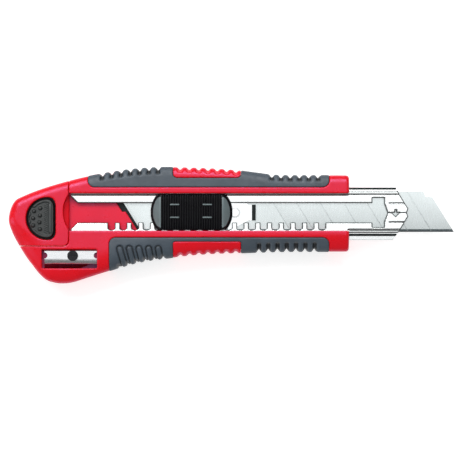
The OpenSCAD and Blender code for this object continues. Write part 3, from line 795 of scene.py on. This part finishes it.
def make_guide():
    """Folded sheet-steel channel with rolled edges."""
    bottom = 10.4
    g = Grid((COVER_X0, -COVER_Y, bottom), (177, COVER_Y, LIP_TOP_Z), (0.24, 0.16, 0.16))
    x, y, z = g.x, g.y, g.z
    outer = box_distance(y, z, -COVER_Y, COVER_Y, 0, LIP_TOP_Z, 1.1)
    inner = box_distance(y, z, -COVER_Y + 0.6, COVER_Y - 0.6, 0, LIP_TOP_Z - LIP_T, 0.5)
    ridge = 0.4 * np.exp(-((y - 7.5) / 0.24) ** 2) + 0.14 * np.exp(-((y - 8.95) / 0.3) ** 2)
    ridge = ridge + 0.4 * np.exp(-((y + 8.05) / 0.24) ** 2) * fade(x, FRONT_X - 1, FRONT_X)
    fold = np.minimum(np.abs(y - 3.7), np.abs(y + 4.7))
    ridge = ridge + 0.3 * np.exp(-(fold / 0.2) ** 2) * fade(x, 168, 169)
    outer = outer + ridge * (z > LIP_TOP_Z - 0.6)
    sheet = np.maximum(np.maximum(outer, -inner), bottom - z)
    plan = polygon_distance(NOSE + [(COVER_X0, 20), (COVER_X0, -20)], x, y)
    sheet = smax(sheet, plan, 0.5)
    groove = np.maximum(np.maximum(np.abs(y + 0.6) - 0.13, 167 - x), 14.5 - z)
    sheet = np.maximum(smax(sheet, -slot_distance(x, y), 0.6), -groove)
    obj = from_field("guide_cover_sheet", g, sheet, GUIDE_STEEL)

    # Painted shade: the lips' sloped faces and a strip along the slot's edge get the near-black steel.
    def painted_edge_shade(p, n):
        lip = (p[:, 2] > LIP_TOP_Z - LIP_T) & (np.abs(p[:, 1]) < 9.2)
        return lip & ((n[:, 2] < 0.96) | (slot_distance(p[:, 0], p[:, 1]) < 0.36))

    paint_where(obj, EDGE_SHADE_STEEL, painted_edge_shade)
    weigh_normals(obj)
    return obj


# ------------------------------------------- machined and pressed pieces
def weigh_normals(obj):
    """Keeps flat faces flat beside rounded edges."""
    flat = obj.modifiers.new("flat", "WEIGHTED_NORMAL")
    flat.keep_sharp = False


def from_cad(node, material, edge=0.0):
    """A welded copy of a CAD node with its edges broken by edge millimetres."""
    mesh = frame["nodes"][node].data.copy()
    bm = bmesh.new()
    bm.from_mesh(mesh)
    bmesh.ops.remove_doubles(bm, verts=bm.verts, dist=2e-6)
    bmesh.ops.dissolve_limit(bm, angle_limit=math.radians(0.5), verts=bm.verts, edges=bm.edges)
    for face in bm.faces:
        face.smooth = True
        face.material_index = 0
    bm.to_mesh(mesh)
    bm.free()
    for layer in [a for a in mesh.attributes if a.name == "custom_normal"]:
        mesh.attributes.remove(layer)
    mesh.materials.clear()
    mesh.materials.append(material)
    obj = bpy.data.objects.new(node + "_finished", mesh)
    bpy.context.scene.collection.objects.link(obj)
    if edge:
        soft = obj.modifiers.new("edges", "BEVEL")
        soft.width = edge * MM
        soft.segments = 2
        soft.limit_method = "ANGLE"
        soft.angle_limit = math.radians(35)
    weigh_normals(obj)
    apply_modifiers(obj)
    return obj


# ------------------------------------------------------------ light, view
def area_light(name, place, aim, size, power):
    """A rectangular light at place, turned towards aim."""
    light = bpy.data.lights.new(name, "AREA")
    light.shape = "RECTANGLE"
    light.size, light.size_y = size
    light.energy = power
    obj = bpy.data.objects.new(name, light)
    obj.location = place
    direction = Vector(aim) - Vector(place)
    obj.rotation_euler = direction.to_track_quat("-Z", "Y").to_euler()
    bpy.context.scene.collection.objects.link(obj)


def build_set():
    """Floor, soft light and the camera looking straight down at the knife."""
    lo, hi = CAD_BOUNDS
    size = 3.0
    mesh = bpy.data.meshes.new("floor")
    mesh.from_pydata([(-size, -size, 0), (size, -size, 0), (size, size, 0), (-size, size, 0)],
                     [], [(0, 1, 2, 3)])
    floor = bpy.data.objects.new("floor", mesh)
    floor.location.z = lo[2] - 0.05 * MM
    paper = Nodes("floor_paper", (0.6, 0.6, 0.6), 0.85)
    paper.tint(paper.noise(60), (0.59, 0.59, 0.59), (0.61, 0.61, 0.61))
    paper.bump(paper.noise(1.2), 0.02)
    paper.shader.inputs["Emission Color"].default_value = (1, 1, 1, 1)
    paper.shader.inputs["Emission Strength"].default_value = 0.72
    mesh.materials.append(paper.mat)
    bpy.context.scene.collection.objects.link(floor)

    area_light("overhead", (0.0, 0.3, 1.4), (0, 0.15, 0), (1.6, 1.0), 5.2)
    area_light("key", (-0.3, 0.95, 1.35), (0, 0, 0), (1.6, 0.6), 18)
    area_light("left", (-1.3, -0.3, 0.8), (0, 0, 0), (0.5, 0.9), 3)

    world = bpy.data.worlds.new("studio")
    world.use_nodes = True
    world.node_tree.nodes["Background"].inputs["Color"].default_value = (1, 1, 1, 1)
    world.node_tree.nodes["Background"].inputs["Strength"].default_value = 0.2
    bpy.context.scene.world = world
    bpy.context.scene.view_settings.view_transform = "Standard"

    camera = bpy.data.cameras.new("camera")
    camera.lens, camera.sensor_width = 150, 36
    width = (hi[0] - lo[0]) * 1.036
    obj = bpy.data.objects.new("camera", camera)
    obj.location = ((lo[0] + hi[0]) / 2 - 0.2 * MM, (lo[1] + hi[1]) / 2 - 2.48 * MM,
                    LIP_TOP_Z * MM + width * camera.lens / camera.sensor_width)
    bpy.context.scene.collection.objects.link(obj)
    bpy.context.scene.camera = obj


# --------------------------------------------------------------- assembly
def fit(piece, node):
    """Stands a piece in for a CAD node."""
    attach(piece, frame["nodes"][node]["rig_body"])
    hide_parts(node)


def fit_spring(piece, node, low_body, high_body, axis):
    """Stands a spring in for a CAD node, each of its ends held by its own body."""
    lo, hi = (Vector(corner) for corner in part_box(node))
    start, end = (lo + hi) / 2, (lo + hi) / 2
    start[axis], end[axis] = lo[axis], hi[axis]
    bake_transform(piece, low_body, high_body, start, end)
    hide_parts(node)


screws = screw_places()
fit(make_front_shell(), "front_shell")
fit(make_back_shell(screws), "back_shell")
for node, upper, front in (("front_upper_grip", True, True), ("front_lower_grip", False, True),
                           ("back_upper_grip", True, False), ("back_lower_grip", False, False)):
    fit(make_grip(node + "_rubber", upper, front, screws), node)
fit(make_rear_cap(), "rear_cap")
fit(make_slider(), "slider_button")
fit(make_release_button(), "release_button")
fit(make_guide(), "guide_cover")
for node, slot, material, edge in (
        ("cap_tongue", "red_shell", RED, 0.25),
        ("guide_tray", "bright_steel", GUIDE_STEEL, 0.2),
        ("nose_block", "cast_nose", NOSE_CAST, 0.25),
        ("blade", "blade_steel", BLADE_STEEL, 0.03),
        ("spare_blade_top", "blade_steel", BLADE_STEEL, 0.03),
        ("spare_blade_low", "blade_steel", BLADE_STEEL, 0.03),
        ("slider_carrier", "spring_steel", SPRING_STEEL, 0.1),
        ("blade_clip", "bright_steel", CLIP_STEEL, 0.08),
        ("blade_stud", "bright_steel", CLIP_STEEL, 0.2),
        ("lock_pawl", "spring_steel", SPRING_STEEL, 0.15),
        ("follower", "black_plastic", BLACK, 0.3),
        # The sharpener block takes the darker red copy: painted shade.
        ("sharpener_body", "red_shell", SHARPENER_SHADE_RED, 0.3),
        ("sharpener_blade", "blade_steel", SHARP_STEEL, 0.12),
        ("sharpener_screw", "black_screw", BLACK_SCREW, 0.15),
        ("case_screws", "screw_steel", SCREW_STEEL, 0.15)):
    piece = from_cad(node, material, edge)
    if "blade" in node and slot == "blade_steel":
        # Painted shade: the downward-sloping bevel faces of the blades and the sharpener's blade get the
        # dark steel.
        paint_where(piece, BEVEL_SHADE_STEEL, lambda p, n: (n[:, 1] < -0.08) & (n[:, 2] > 0.9))
    if node == "guide_tray":
        # Painted shade: the tray's floor and the tops of its walls get the black steel.
        paint_where(piece, BLACK_SHADE_STEEL, lambda p, n: (n[:, 2] > 0.3)
                    & ((p[:, 2] > 12.7) | (p[:, 2] < 9.9)))
    if node == "blade_clip":
        # Painted shade: the clip's upturned lip and its steep faces get the black steel.
        paint_where(piece, BLACK_SHADE_STEEL, lambda p, n: ((p[:, 0] > 107.3) & (p[:, 2] > 13.42))
                    | (n[:, 2] < 0.8))
    if node == "blade_stud":
        # Painted shade: the stud's side faces get the near-black steel.
        paint_where(piece, EDGE_SHADE_STEEL, lambda p, n: n[:, 2] < 0.9)
    fit(piece, node)
for node, low_body, high_body, axis in (("pawl_spring", "pawl", "slider", 1),
                                        ("magazine_spring", "handle", "magazine", 2),
                                        ("button_spring", "cap", "button", 2)):
    fit_spring(from_cad(node, SPRING_STEEL), node, low_body, high_body, axis)
build_set()
